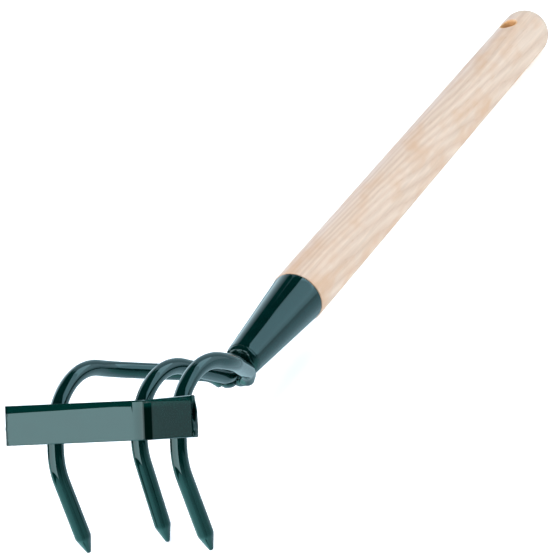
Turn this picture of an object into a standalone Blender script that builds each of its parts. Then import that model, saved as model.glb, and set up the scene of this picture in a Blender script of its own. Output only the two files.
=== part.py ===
"""A hand cultivator: three bent round-steel tines, a flat cross strap and a wooden handle.

The middle tine runs on as the tang into a conical steel socket, which holds the turned
handle. The outer tines are bent in and welded beside the tang, and the strap is welded
across the front of all three.

The tool is drawn with the tines upright: +X to its right, +Y back towards the handle,
+Z up, and zero where the middle tine meets the lower edge of the strap. One empty then
lays it down as it rests, on the point of the middle tine and the butt of the handle.
"""

import math

import bmesh
import bpy
from mathutils import Matrix, Vector

# Tines, in metres: the corners of each centre line and the radii of its bends
ROD_RADIUS = 0.0042
ROD_SIDES = 20
POINT_LENGTH = 0.0095
POINT_END_RADIUS = 0.0009
NOSE_TURNS = [math.radians(degrees) for degrees in (20, 45, 70)]
LOWER_BEND = 0.032
TOP_BEND = 0.0355
TINE_SPACING = 0.038
MIDDLE_TINE_Y = -0.0003
MIDDLE_TIP = Vector((0, 0.0207, -0.0516))
MIDDLE_LOWER_CORNER_Z = -0.0055
MIDDLE_TOP_CORNER_Z = 0.0423
OUTER_TINE_Y = -0.0196
OUTER_TIP = Vector((TINE_SPACING, 0.0048, -0.0557))
OUTER_LOWER_CORNER_Z = -0.0121
OUTER_TOP_CORNER_Z = 0.0408
OUTER_INWARD_CORNER = Vector((TINE_SPACING, 0.0293, 0.0375))
OUTER_INWARD_BEND = 0.044
OUTER_END_CORNER = Vector((0.0116, 0.0810, 0.0337))
OUTER_END_BEND = 0.014
OUTER_END = Vector((0.0068, 0.0860, 0.0288))

# Tang and handle axis: from the corner at the root, rising towards the butt
ROOT_CORNER = Vector((0, 0.0800, 0.0317))
ROOT_BEND = 0.014
HANDLE_RISE = math.radians(32.2)

# Distances along the handle axis from the root corner
SOCKET_START = 0.0161
SOCKET_MOUTH = 0.0795
TANG_END = 0.0320
TENON_START = 0.0360
HANDLE_DOME_START = 0.3898
HANG_HOLE_AT = 0.3760

# Socket, handle and their fastening
SOCKET_START_RADIUS = 0.0097
SOCKET_MOUTH_RADIUS = 0.0150
SOCKET_WALL = 0.0012
FIT_GAP = 0.0003
HANDLE_SHOULDER_RADIUS = 0.0154
HANDLE_END_RADIUS = 0.0146
HANDLE_EDGE = 0.0006
TURNED_SIDES = 32
HANG_HOLE_RADIUS = 0.0050
HANG_HOLE_EASE = 0.0016
HANG_HOLE_SIDES = 24
NAIL_AT = 0.0640
NAIL_SHANK_RADIUS = 0.0014
NAIL_HEAD_RADIUS = 0.0030
NAIL_HEAD_HEIGHT = 0.0010
NAIL_CROWN_RADIUS = 0.0021
NAIL_RIM_HEIGHT = 0.00045
NAIL_DEPTH = 0.0100
NAIL_SIDES = 16

# Cross strap: flat bar bent once, its hollow side to the front
STRAP_HEIGHT = 0.0200
STRAP_THICKNESS = 0.0040
STRAP_LEFT_ARM = 0.0700
STRAP_RIGHT_ARM = 0.0867
STRAP_END_SHEAR = 0.8
STRAP_RIGHT_SWEEP = math.radians(38.0)
STRAP_INNER_BEND = 0.0090

# Weld metal
STRAP_BEAD_RADIUS = 0.0024
STRAP_BEAD_END_RADIUS = 0.0013
STRAP_BEAD_SIDES = 8
STRAP_BEAD_HEIGHTS = (0.0016, 0.0028, 0.0060, 0.0100, 0.0140, 0.0168, 0.0180)
STRAP_BEAD_ROUND_TINE = math.radians(33)
ROOT_WELD_AT = Vector((0, 0.0922, 0.0320))
ROOT_WELD_HALF_SIZE = Vector((0.0080, 0.0061, 0.0058))
ROOT_DRIP_AT = Vector((-0.0040, 0.0848, 0.0283))
ROOT_DRIP_HALF_SIZE = Vector((0.0043, 0.0049, 0.0027))
WELD_RING_DEPTH = 0.0022
WELD_RING_SLOPE = 0.0026
WELD_RING_FALL = 0.4  # share of the depth and slope at which the ring's face turns in

BEND_STEP = math.radians(7.0)
DOME_STEPS = 7
BLOB_SEGMENTS = 16
BLOB_RINGS = 10
SHARP_FROM = math.radians(35)
CUTTER_REACH = 0.003
UP = Vector((0, 0, 1))
ALONG_HANDLE = Vector((0, math.cos(HANDLE_RISE), math.sin(HANDLE_RISE)))


def clear_scene():
    for obj in list(bpy.data.objects):
        bpy.data.objects.remove(obj, do_unlink=True)


def material(name, colour, roughness, metallic=0.0):
    made = bpy.data.materials.new(name)
    made.use_nodes = True
    shader = made.node_tree.nodes["Principled BSDF"]
    shader.inputs["Base Color"].default_value = (*colour, 1.0)
    shader.inputs["Roughness"].default_value = roughness
    shader.inputs["Metallic"].default_value = metallic
    return made


def add_object(name, mesh, finish):
    """The bmesh as an object that lies on the tool's empty."""
    bmesh.ops.recalc_face_normals(mesh, faces=mesh.faces)
    data = bpy.data.meshes.new(name)
    mesh.to_mesh(data)
    mesh.free()
    data.shade_smooth()
    data.set_sharp_from_angle(angle=SHARP_FROM)
    obj = bpy.data.objects.new(name, data)
    bpy.context.scene.collection.objects.link(obj)
    if finish:
        data.materials.append(finish)
    obj.parent = tool
    return obj


def add_loft(mesh, rings):
    """A closed body through rings of points, with a flat face on each end."""
    loops = [[mesh.verts.new(point) for point in ring] for ring in rings]
    for near, far in zip(loops, loops[1:]):
        for i, start in enumerate(near):
            j = (i + 1) % len(near)
            mesh.faces.new((start, near[j], far[j], far[i]))
    mesh.faces.new(loops[0])
    mesh.faces.new(loops[-1])


def bent_line(start, corners, end):
    """Points from start to end, where each corner (place, radius) is rounded to an arc."""
    places = [start] + [place for place, _ in corners] + [end]
    points = [start]
    for before, (corner, radius), after in zip(places, corners, places[2:]):
        into = (corner - before).normalized()
        out = (after - corner).normalized()
        turn = into.angle(out)
        reach = radius * math.tan(turn / 2)
        centre = corner - into * reach + (out - into * math.cos(turn)).normalized() * radius
        axis = into.cross(out).normalized()
        arm = corner - into * reach - centre
        steps = max(2, math.ceil(turn / BEND_STEP))
        for i in range(steps + 1):
            points.append(centre + Matrix.Rotation(turn * i / steps, 3, axis) @ arm)
    points.append(end)
    return points


def pointed(points):
    """The line's points and radii, with the first end drawn to a blunt pencil point."""
    into = (points[1] - points[0]).normalized()
    line, radii = [], []
    for turn in NOSE_TURNS:
        line.append(points[0] + into * POINT_END_RADIUS * (1 - math.cos(turn)))
        radii.append(POINT_END_RADIUS * math.sin(turn))
    line.append(points[0] + into * POINT_LENGTH)
    return line + points[1:], radii + [ROD_RADIUS] * len(points)


def swept_rings(line, radii, sides):
    """Circles square to a line, each turned as little as possible from the last."""
    rings = []
    across = (line[1] - line[0]).orthogonal().normalized()
    last = len(line) - 1
    for i, (place, radius) in enumerate(zip(line, radii)):
        before = (place - line[i - 1]).normalized() if i else (line[1] - place).normalized()
        after = (line[i + 1] - place).normalized() if i < last else before
        along = (before + after).normalized()
        across = (across - along * across.dot(along)).normalized()
        other = along.cross(across)
        ring = []
        for k in range(sides):
            angle = 2 * math.pi * k / sides
            ring.append(place + (across * math.cos(angle) + other * math.sin(angle)) * radius)
        rings.append(ring)
    return rings


def add_rod(name, line, finish):
    line, radii = pointed(line)
    mesh = bmesh.new()
    add_loft(mesh, swept_rings(line, radii, ROD_SIDES))
    return add_object(name, mesh, finish)


def rod_cutter(name, line):
    """A rod and the gap around it, longer than the rod at both ends."""
    start = line[0] + (line[0] - line[1]).normalized() * FIT_GAP
    end = line[-1] + (line[-1] - line[-2]).normalized() * FIT_GAP
    line = [start] + line[1:-1] + [end]
    mesh = bmesh.new()
    radii = [ROD_RADIUS + FIT_GAP] * len(line)
    add_loft(mesh, swept_rings(line, radii, ROD_SIDES))
    return as_cutter(add_object(name, mesh, None))


def add_turned(name, profile, sides, finish):
    """A body turned about its own +Z from (radius, height) pairs that run round its outline."""
    mesh = bmesh.new()
    rings = []
    for radius, height in profile:
        if radius == 0:
            rings.append([mesh.verts.new((0, 0, height))])
            continue
        ring = []
        for k in range(sides):
            angle = 2 * math.pi * k / sides
            ring.append(mesh.verts.new((radius * math.cos(angle), radius * math.sin(angle), height)))
        rings.append(ring)
    pairs = list(zip(rings, rings[1:]))
    if len(rings[0]) > 1:
        pairs.append((rings[-1], rings[0]))
    for near, far in pairs:
        for k in range(sides):
            j = (k + 1) % sides
            if len(near) == 1:
                mesh.faces.new((near[0], far[j], far[k]))
            elif len(far) == 1:
                mesh.faces.new((near[k], near[j], far[0]))
            else:
                mesh.faces.new((near[k], near[j], far[j], far[k]))
    return add_object(name, mesh, finish)


def set_on_axis(obj, distance, direction=ALONG_HANDLE):
    """Stands a turned body on the handle axis, with its +Z along the direction given."""
    obj.location = ROOT_CORNER + ALONG_HANDLE * distance
    obj.rotation_euler = direction.to_track_quat("Z", "Y").to_euler()


def as_cutter(obj):
    obj.hide_render = True
    obj.display_type = "WIRE"
    return obj


def cut(obj, *cutters):
    for cutter in cutters:
        boolean = obj.modifiers.new("cut by " + cutter.name, "BOOLEAN")
        boolean.object = cutter
        boolean.operation = "DIFFERENCE"
        boolean.solver = "EXACT"


def join(obj, *others):
    for other in others:
        as_cutter(other)
        boolean = obj.modifiers.new("joined to " + other.name, "BOOLEAN")
        boolean.object = other
        boolean.operation = "UNION"
        boolean.solver = "EXACT"


def mirrored(point):
    return Vector((-point.x, point.y, point.z))


def middle_line():
    corners = [
        (Vector((0, MIDDLE_TINE_Y, MIDDLE_LOWER_CORNER_Z)), LOWER_BEND),
        (Vector((0, MIDDLE_TINE_Y, MIDDLE_TOP_CORNER_Z)), TOP_BEND),
        (ROOT_CORNER, ROOT_BEND),
    ]
    return bent_line(MIDDLE_TIP, corners, ROOT_CORNER + ALONG_HANDLE * TANG_END)


def outer_line(side=1):
    corners = [
        (Vector((TINE_SPACING, OUTER_TINE_Y, OUTER_LOWER_CORNER_Z)), LOWER_BEND),
        (Vector((TINE_SPACING, OUTER_TINE_Y, OUTER_TOP_CORNER_Z)), TOP_BEND),
        (OUTER_INWARD_CORNER, OUTER_INWARD_BEND),
        (OUTER_END_CORNER, OUTER_END_BEND),
    ]
    line = bent_line(OUTER_TIP, corners, OUTER_END)
    return line if side > 0 else [mirrored(point) for point in line]


def strap_bend():
    """The front corner of the strap's bend, and the ways its two arms run from there.

    The left arm lies against the left and middle tines, the right arm against the right.
    """
    clear = ROD_RADIUS + STRAP_THICKNESS + FIT_GAP
    left_sweep = math.atan2(MIDDLE_TINE_Y - OUTER_TINE_Y, TINE_SPACING)
    left_front = Vector((math.sin(left_sweep), -math.cos(left_sweep)))
    right_front = Vector((-math.sin(STRAP_RIGHT_SWEEP), -math.cos(STRAP_RIGHT_SWEEP)))
    left_reach = Vector((0, MIDDLE_TINE_Y)).dot(left_front) + clear
    right_reach = Vector((TINE_SPACING, OUTER_TINE_Y)).dot(right_front) + clear
    corner = Matrix((left_front, right_front)).inverted() @ Vector((left_reach, right_reach))
    left_arm = Vector((-math.cos(left_sweep), -math.sin(left_sweep), 0))
    right_arm = Vector((math.cos(STRAP_RIGHT_SWEEP), -math.sin(STRAP_RIGHT_SWEEP), 0))
    return Vector((*corner, 0)), left_arm, right_arm


def strap_outline(grow=0.0):
    """The strap from above: along its hollow front from left to right and back behind."""
    corner, left_arm, right_arm = strap_bend()
    front = bent_line(
        corner + left_arm * (STRAP_LEFT_ARM + grow),
        [(corner, STRAP_INNER_BEND)],
        corner + right_arm * (STRAP_RIGHT_ARM + grow),
    )
    outline = []
    for depth in (-grow, STRAP_THICKNESS + grow):
        edge = []
        for i, point in enumerate(front):
            along = (front[min(i + 1, len(front) - 1)] - front[max(i - 1, 0)]).normalized()
            if i == 1:
                along = -left_arm
            if i == len(front) - 2:
                along = right_arm
            edge.append(point + UP.cross(along) * depth)
        edge[-1] -= right_arm * STRAP_END_SHEAR * depth
        outline.append(edge)
    return outline[0] + outline[1][::-1]


def add_strap(name, finish, grow=0.0):
    mesh = bmesh.new()
    outline = strap_outline(grow)
    low = [point - UP * grow for point in outline]
    high = [point + UP * (STRAP_HEIGHT + grow) for point in outline]
    add_loft(mesh, [low, high])
    return add_object(name, mesh, finish)


def rod_place(line, height):
    """Where a tine's centre line passes a height beside the strap."""
    for low, high in zip(line, line[1:]):
        if low.z <= height <= high.z:
            return low.lerp(high, (height - low.z) / (high.z - low.z))
    raise ValueError("the tine does not reach that height")


def add_strap_bead(name, line, arm, side, cutters, finish):
    """Weld metal in the corner between the strap's back and one side of a tine."""
    behind = UP.cross(arm if arm.x > 0 else -arm)
    out = (arm if arm.x > 0 else -arm) * side
    at_strap = rod_place(line, 0.0).dot(behind)
    points, radii = [], []
    towards_strap = out * math.cos(STRAP_BEAD_ROUND_TINE) - behind * math.sin(STRAP_BEAD_ROUND_TINE)
    for height in STRAP_BEAD_HEIGHTS:
        tine = rod_place(line, height)
        gap = tine.dot(behind) - at_strap
        points.append(tine + towards_strap * ROD_RADIUS - behind * gap / 2)
        at_end = height in (STRAP_BEAD_HEIGHTS[0], STRAP_BEAD_HEIGHTS[-1])
        radii.append((STRAP_BEAD_END_RADIUS if at_end else STRAP_BEAD_RADIUS) + gap / 4)
    mesh = bmesh.new()
    add_loft(mesh, swept_rings(points, radii, STRAP_BEAD_SIDES))
    bead = add_object(name, mesh, finish)
    cut(bead, *cutters)
    return bead


def add_blob(name, centre, half_size, finish=None):
    mesh = bmesh.new()
    bmesh.ops.create_uvsphere(mesh, u_segments=BLOB_SEGMENTS, v_segments=BLOB_RINGS, radius=1)
    bmesh.ops.scale(mesh, vec=half_size, verts=mesh.verts)
    bmesh.ops.translate(mesh, vec=centre, verts=mesh.verts)
    return add_object(name, mesh, finish)


clear_scene()
tool = bpy.data.objects.new("tool", None)
bpy.context.scene.collection.objects.link(tool)

green_paint = (0.004, 0.040, 0.034)
ash_wood = (0.74, 0.58, 0.44)
bright_steel = (0.45, 0.45, 0.44)

# The three tines
middle = middle_line()
right = outer_line()
left = outer_line(-1)
add_rod("middle_tine", middle, material("middle tine paint", green_paint, 0.18))
add_rod("right_tine", right, material("right tine paint", green_paint, 0.18))
add_rod("left_tine", left, material("left tine paint", green_paint, 0.18))
middle_cutter = rod_cutter("middle tine clearance", middle)
right_cutter = rod_cutter("right tine clearance", right)
left_cutter = rod_cutter("left tine clearance", left)

# The strap and the weld beads that hold it to the backs of its arms
add_strap("cross_strap", material("strap paint", green_paint, 0.22))
strap_cutter = as_cutter(add_strap("strap clearance", None, FIT_GAP))
_, left_arm, right_arm = strap_bend()
for tine, line, arm, cutter in (
    ("left", left, left_arm, left_cutter),
    ("middle", middle, left_arm, middle_cutter),
    ("right", right, right_arm, right_cutter),
):
    for side, word in ((-1, "left"), (1, "right")):
        name = f"{tine}_strap_weld_{word}"
        finish = material(name + " paint", green_paint, 0.3)
        add_strap_bead(name, line, arm, side, (cutter, strap_cutter), finish)

# The socket: a rolled steel cone, open at both ends
socket_length = SOCKET_MOUTH - SOCKET_START
slope = (SOCKET_MOUTH_RADIUS - SOCKET_START_RADIUS) / socket_length
socket = add_turned(
    "socket",
    [
        (SOCKET_START_RADIUS, 0),
        (SOCKET_MOUTH_RADIUS, socket_length),
        (SOCKET_MOUTH_RADIUS - SOCKET_WALL, socket_length),
        (SOCKET_START_RADIUS - SOCKET_WALL, 0),
    ],
    TURNED_SIDES,
    material("socket paint", green_paint, 0.16),
)
set_on_axis(socket, SOCKET_START)

# The weld that closes the socket's small end round the tang
weld_inner = ROD_RADIUS + FIT_GAP
weld_outer = SOCKET_START_RADIUS - FIT_GAP
weld_shoulder = weld_outer - WELD_RING_SLOPE * WELD_RING_FALL
weld_front = -FIT_GAP - WELD_RING_DEPTH
socket_weld = add_turned(
    "socket_weld",
    [
        (weld_inner, -FIT_GAP),
        (weld_outer, -FIT_GAP),
        (weld_outer, -FIT_GAP - WELD_RING_DEPTH * WELD_RING_FALL),
        (weld_shoulder, weld_front + WELD_RING_DEPTH * WELD_RING_FALL / 2),
        (weld_outer - WELD_RING_SLOPE, weld_front),
        (weld_inner, weld_front),
    ],
    TURNED_SIDES,
    material("socket weld paint", green_paint, 0.3),
)
set_on_axis(socket_weld, SOCKET_START)
cut(socket_weld, left_cutter, right_cutter)

# The weld at the root, under the tang, where the ends of the outer tines meet it
root_paint = material("root weld paint", green_paint, 0.3)
root_weld = add_blob("root_weld", ROOT_WELD_AT, ROOT_WELD_HALF_SIZE, root_paint)
join(root_weld, add_blob("root weld drip", ROOT_DRIP_AT, ROOT_DRIP_HALF_SIZE))
socket_space = add_turned(
    "socket space",
    [
        (0, -WELD_RING_DEPTH - FIT_GAP * 2),
        (SOCKET_START_RADIUS + FIT_GAP, -WELD_RING_DEPTH - FIT_GAP * 2),
        (SOCKET_START_RADIUS + FIT_GAP, 0),
        (SOCKET_MOUTH_RADIUS + FIT_GAP, socket_length),
        (0, socket_length),
    ],
    TURNED_SIDES,
    None,
)
set_on_axis(as_cutter(socket_space), SOCKET_START)
cut(root_weld, middle_cutter, left_cutter, right_cutter, socket_space)

# The handle: a tenon inside the socket, a small shoulder, a long taper and a domed butt
tenon_slip = SOCKET_WALL + FIT_GAP
tenon_start_radius = SOCKET_START_RADIUS + slope * (TENON_START - SOCKET_START) - tenon_slip
shoulder = SOCKET_MOUTH + FIT_GAP
profile = [(0, TENON_START), (tenon_start_radius - HANDLE_EDGE, TENON_START)]
profile.append((tenon_start_radius, TENON_START + HANDLE_EDGE))
profile.append((SOCKET_MOUTH_RADIUS - tenon_slip, SOCKET_MOUTH))
profile.append((SOCKET_MOUTH_RADIUS - tenon_slip, shoulder))
profile.append((HANDLE_SHOULDER_RADIUS - HANDLE_EDGE, shoulder))
profile.append((HANDLE_SHOULDER_RADIUS, shoulder + HANDLE_EDGE))
for step in range(DOME_STEPS):
    angle = math.pi / 2 * step / DOME_STEPS
    radius = HANDLE_END_RADIUS * math.cos(angle)
    profile.append((radius, HANDLE_DOME_START + HANDLE_END_RADIUS * math.sin(angle)))
profile.append((0, HANDLE_DOME_START + HANDLE_END_RADIUS))
handle = add_turned("handle", profile, TURNED_SIDES, material("ash", ash_wood, 0.55))
set_on_axis(handle, 0)

# The hang hole goes through the handle in the tool's upright plane, eased at both mouths
below_handle = Vector((0, math.sin(HANDLE_RISE), -math.cos(HANDLE_RISE)))
beyond = HANDLE_END_RADIUS + CUTTER_REACH
eased_from = HANDLE_END_RADIUS - HANG_HOLE_EASE
eased_radius = HANG_HOLE_RADIUS + HANG_HOLE_EASE + CUTTER_REACH
hang_hole = add_turned(
    "hang hole",
    [
        (0, -beyond),
        (eased_radius, -beyond),
        (HANG_HOLE_RADIUS, -eased_from),
        (HANG_HOLE_RADIUS, eased_from),
        (eased_radius, beyond),
        (0, beyond),
    ],
    HANG_HOLE_SIDES,
    None,
)
set_on_axis(as_cutter(hang_hole), HANG_HOLE_AT, below_handle)
cut(handle, hang_hole)

# A nail through the left side of the socket keeps the handle in
nail_side = Vector((-1, 0, 0))
nail_outside = SOCKET_START_RADIUS + slope * (NAIL_AT - SOCKET_START)
nail = add_turned(
    "handle_nail",
    [
        (0, nail_outside + FIT_GAP + NAIL_HEAD_HEIGHT),
        (NAIL_CROWN_RADIUS, nail_outside + FIT_GAP + NAIL_HEAD_HEIGHT),
        (NAIL_HEAD_RADIUS, nail_outside + FIT_GAP + NAIL_RIM_HEIGHT),
        (NAIL_HEAD_RADIUS, nail_outside + FIT_GAP),
        (NAIL_SHANK_RADIUS, nail_outside + FIT_GAP),
        (NAIL_SHANK_RADIUS, nail_outside - NAIL_DEPTH + NAIL_SHANK_RADIUS * 2),
        (0, nail_outside - NAIL_DEPTH),
    ],
    NAIL_SIDES,
    material("nail steel", bright_steel, 0.35, 1.0),
)
set_on_axis(nail, NAIL_AT, nail_side)
nail_hole = add_turned(
    "nail hole",
    [
        (0, nail_outside + CUTTER_REACH),
        (NAIL_SHANK_RADIUS + FIT_GAP, nail_outside + CUTTER_REACH),
        (NAIL_SHANK_RADIUS + FIT_GAP, nail_outside - NAIL_DEPTH + NAIL_SHANK_RADIUS),
        (0, nail_outside - NAIL_DEPTH - FIT_GAP * 2),
    ],
    NAIL_SIDES,
    None,
)
set_on_axis(as_cutter(nail_hole), NAIL_AT, nail_side)
cut(socket, nail_hole)
cut(handle, nail_hole)

# Lay the tool down: the end of the middle tine and the butt touch the same level
butt = ROOT_CORNER + ALONG_HANDLE * HANDLE_DOME_START
tip_to_butt = butt - MIDDLE_TIP
rise = math.atan2(tip_to_butt.z, tip_to_butt.y)
rest_pitch = rise - math.asin(HANDLE_END_RADIUS / tip_to_butt.length)
tool.rotation_euler.x = -rest_pitch
bpy.context.view_layer.update()

# The origin is on the floor under the middle of the tool
graph = bpy.context.evaluated_depsgraph_get()
corners = []
for obj in bpy.context.scene.objects:
    if obj.type == "MESH" and not obj.hide_render:
        solid = obj.evaluated_get(graph)
        corners += [solid.matrix_world @ vertex.co for vertex in solid.data.vertices]
low = Vector([min(point[axis] for point in corners) for axis in range(3)])
high = Vector([max(point[axis] for point in corners) for axis in range(3)])
tool.location = (-(low.x + high.x) / 2, -(low.y + high.y) / 2, -low.z)
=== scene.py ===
"""A hand cultivator on a pale floor: green enamelled tines, strap and socket on an ash handle."""

import math

import bmesh
import bpy
from mathutils import Matrix, Vector, noise


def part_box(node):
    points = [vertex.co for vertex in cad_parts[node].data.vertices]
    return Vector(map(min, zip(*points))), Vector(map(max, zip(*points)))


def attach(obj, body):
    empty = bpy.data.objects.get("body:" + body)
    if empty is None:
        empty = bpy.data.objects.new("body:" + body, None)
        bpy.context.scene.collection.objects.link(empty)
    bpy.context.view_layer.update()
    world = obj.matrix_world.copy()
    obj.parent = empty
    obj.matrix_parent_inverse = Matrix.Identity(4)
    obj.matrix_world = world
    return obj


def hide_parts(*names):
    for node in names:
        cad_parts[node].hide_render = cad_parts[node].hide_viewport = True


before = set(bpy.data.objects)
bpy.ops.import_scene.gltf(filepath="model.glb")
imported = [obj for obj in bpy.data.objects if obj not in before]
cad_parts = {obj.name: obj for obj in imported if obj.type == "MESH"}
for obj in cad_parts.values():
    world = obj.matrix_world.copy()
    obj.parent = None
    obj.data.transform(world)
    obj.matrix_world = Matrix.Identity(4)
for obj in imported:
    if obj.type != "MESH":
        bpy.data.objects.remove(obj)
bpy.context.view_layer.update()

# MIDDLE TINE AND TANG
# One piece of 8.4 mm round steel, drawn to a pencil point, bent back over the strap and run
# on as the tang into the socket. It is dipped in dark green enamel with the rest of the head.
# Everything is drawn with the tines upright, then laid down as the tool rests.
ROD_RADIUS = 0.0042
ROD_SIDES = 36
POINT_LENGTH = 0.0095
POINT_END_RADIUS = 0.0009
POINT_SHOULDER = 0.0004
END_ROUND = 0.0032
BAR_SPACING = 0.0007
MERGE_WITHIN = 0.00002
LOWER_BEND = 0.032
TOP_BEND = 0.0355
MIDDLE_TINE_Y = -0.0003
MIDDLE_TIP = Vector((0, 0.0207, -0.0516))
MIDDLE_LOWER_CORNER = Vector((0, MIDDLE_TINE_Y, -0.0055))
MIDDLE_TOP_CORNER = Vector((0, MIDDLE_TINE_Y, 0.0423))
ROOT_CORNER = Vector((0, 0.0800, 0.0317))
ROOT_BEND = 0.014
TANG_LENGTH = 0.032
HANDLE_RISE = math.radians(32.2)
ALONG_HANDLE = Vector((0, math.cos(HANDLE_RISE), math.sin(HANDLE_RISE)))
HANDLE_DOME_START = 0.3898
HANDLE_END_RADIUS = 0.0146
UP = Vector((0, 0, 1))
GREEN = (0.0002, 0.0075, 0.0065)
GREEN_THIN = (0.0003, 0.0115, 0.0100)
ENAMEL_TINT = (0.60, 0.96, 1.0)
ENAMEL_IOR = 1.52
WAVE_DEPTH = 0.00008
PEEL_DEPTH = 0.0000012
PEEL_PER_METRE = 900.0
THIN_PER_METRE = 140.0


def bent_line(start, corners, end, step=math.radians(2.0)):
    """Points from start to end, where each corner (place, radius) is rounded to an arc."""
    places = [start] + [place for place, _ in corners] + [end]
    points = [start]
    for before, (corner, radius), after in zip(places, corners, places[2:]):
        into = (corner - before).normalized()
        out = (after - corner).normalized()
        turn = into.angle(out)
        reach = radius * math.tan(turn / 2)
        centre = corner - into * reach + (out - into * math.cos(turn)).normalized() * radius
        axis = into.cross(out).normalized()
        arm = corner - into * reach - centre
        steps = max(2, math.ceil(turn / step))
        for i in range(steps + 1):
            points.append(centre + Matrix.Rotation(turn * i / steps, 3, axis) @ arm)
    points.append(end)
    return points


def add_socket(tree, name, kind, value=None, output=False):
    way = "OUTPUT" if output else "INPUT"
    socket = tree.interface.new_socket(name=name, in_out=way, socket_type="NodeSocket" + kind)
    if value is not None:
        socket.default_value = value


def add_math(tree, operation, *values):
    """A Math node whose inputs are sockets or plain numbers."""
    node = tree.nodes.new("ShaderNodeMath")
    node.operation = operation
    for i, value in enumerate(values):
        if isinstance(value, (int, float)):
            node.inputs[i].default_value = value
        else:
            tree.links.new(value, node.inputs[i])
    return node.outputs[0]


def sweep_round(tree, curve, radius, sides):
    """A closed round body along a curve, as thick as the radius says at each place."""
    new, link = tree.nodes.new, tree.links.new
    circle = new("GeometryNodeCurvePrimitiveCircle")
    circle.inputs["Radius"].default_value = 1.0
    link(sides, circle.inputs["Resolution"])
    sweep = new("GeometryNodeCurveToMesh")
    sweep.inputs["Fill Caps"].default_value = True
    link(curve, sweep.inputs["Curve"])
    link(circle.outputs["Curve"], sweep.inputs["Profile Curve"])
    link(radius, sweep.inputs["Scale"])
    merge = new("GeometryNodeMergeByDistance")
    merge.inputs["Distance"].default_value = MERGE_WITHIN
    link(sweep.outputs["Mesh"], merge.inputs["Geometry"])
    return merge.outputs["Geometry"]


def end_tree(tree, body, finish, name):
    """The tree's last nodes: real geometry, in its material."""
    new, link = tree.nodes.new, tree.links.new
    real = new("GeometryNodeRealizeInstances")
    link(body, real.inputs["Geometry"])
    coated = new("GeometryNodeSetMaterial")
    link(real.outputs["Geometry"], coated.inputs["Geometry"])
    link(finish, coated.inputs["Material"])
    link(coated.outputs["Geometry"], new("NodeGroupOutput").inputs[name])


def make_bar_tree():
    """Round bar along a curve, drawn to a point at the curve's start and domed at its end."""
    tree = bpy.data.node_groups.new("drawn bar", "GeometryNodeTree")
    add_socket(tree, "Bar", "Geometry", output=True)
    add_socket(tree, "Centre Line", "Geometry")
    add_socket(tree, "Bar Radius", "Float", ROD_RADIUS)
    add_socket(tree, "Point Length", "Float", POINT_LENGTH)
    add_socket(tree, "Point End", "Float", POINT_END_RADIUS)
    add_socket(tree, "End Round", "Float", END_ROUND)
    add_socket(tree, "Sides", "Int", ROD_SIDES)
    add_socket(tree, "Spacing", "Float", BAR_SPACING)
    add_socket(tree, "Finish", "Material")
    new, link = tree.nodes.new, tree.links.new
    given = new("NodeGroupInput").outputs
    resample = new("GeometryNodeResampleCurve")
    resample.mode = "LENGTH"
    link(given["Centre Line"], resample.inputs["Curve"])
    link(given["Spacing"], resample.inputs["Length"])
    along = new("GeometryNodeSplineParameter").outputs["Length"]
    steepness = add_math(
        tree,
        "DIVIDE",
        add_math(tree, "SUBTRACT", given["Bar Radius"], given["Point End"]),
        given["Point Length"],
    )
    cone = add_math(tree, "MULTIPLY_ADD", along, steepness, given["Point End"])
    shouldered = add_math(tree, "SMOOTH_MIN", cone, given["Bar Radius"], POINT_SHOULDER)
    into_nose = add_math(tree, "DIVIDE", along, given["Point End"])
    from_nose = add_math(tree, "SUBTRACT", 1.0, add_math(tree, "MINIMUM", into_nose, 1.0))
    squared = add_math(tree, "MULTIPLY", from_nose, from_nose)
    nose = add_math(tree, "SQRT", add_math(tree, "SUBTRACT", 1.0, squared))
    whole = new("GeometryNodeSplineLength").outputs["Length"]
    to_end = add_math(tree, "DIVIDE", add_math(tree, "SUBTRACT", whole, along), given["End Round"])
    from_end = add_math(tree, "SUBTRACT", 1.0, add_math(tree, "MINIMUM", to_end, 1.0))
    squared = add_math(tree, "MULTIPLY", from_end, from_end)
    dome = add_math(tree, "SQRT", add_math(tree, "SUBTRACT", 1.0, squared))
    radius = add_math(tree, "MULTIPLY", add_math(tree, "MULTIPLY", shouldered, nose), dome)
    body = sweep_round(tree, resample.outputs["Curve"], radius, given["Sides"])
    end_tree(tree, body, given["Finish"], "Bar")
    return tree


def add_piece(name, mesh):
    piece = bpy.data.objects.new(name, mesh)
    bpy.context.scene.collection.objects.link(piece)
    return piece


def line_curve(name, points):
    curve = bpy.data.curves.new(name, "CURVE")
    curve.dimensions = "3D"
    spline = curve.splines.new("POLY")
    spline.points.add(len(points) - 1)
    for place, point in zip(spline.points, points):
        place.co = (*point, 1)
    return add_piece(name, curve)


def settled(name, source):
    """What the modifiers make of a source object, as a plain mesh piece in its place."""
    graph = bpy.context.evaluated_depsgraph_get()
    data = bpy.data.meshes.new_from_object(source.evaluated_get(graph))
    data.name = name
    bpy.data.objects.remove(source)
    return add_piece(name, data)


def grown(name, source, tree, **inputs):
    """The plain mesh piece that a Geometry Nodes tree makes from a source object."""
    modifier = source.modifiers.new("tree", "NODES")
    modifier.node_group = tree
    sockets = {item.name: item for item in tree.interface.items_tree}
    for key, value in inputs.items():
        modifier[sockets[key.replace("_", " ")].identifier] = value
    return settled(name, source)


def smooth(piece, sharp_from=40):
    piece.data.shade_smooth()
    piece.data.set_sharp_from_angle(angle=math.radians(sharp_from))
    return piece


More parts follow.
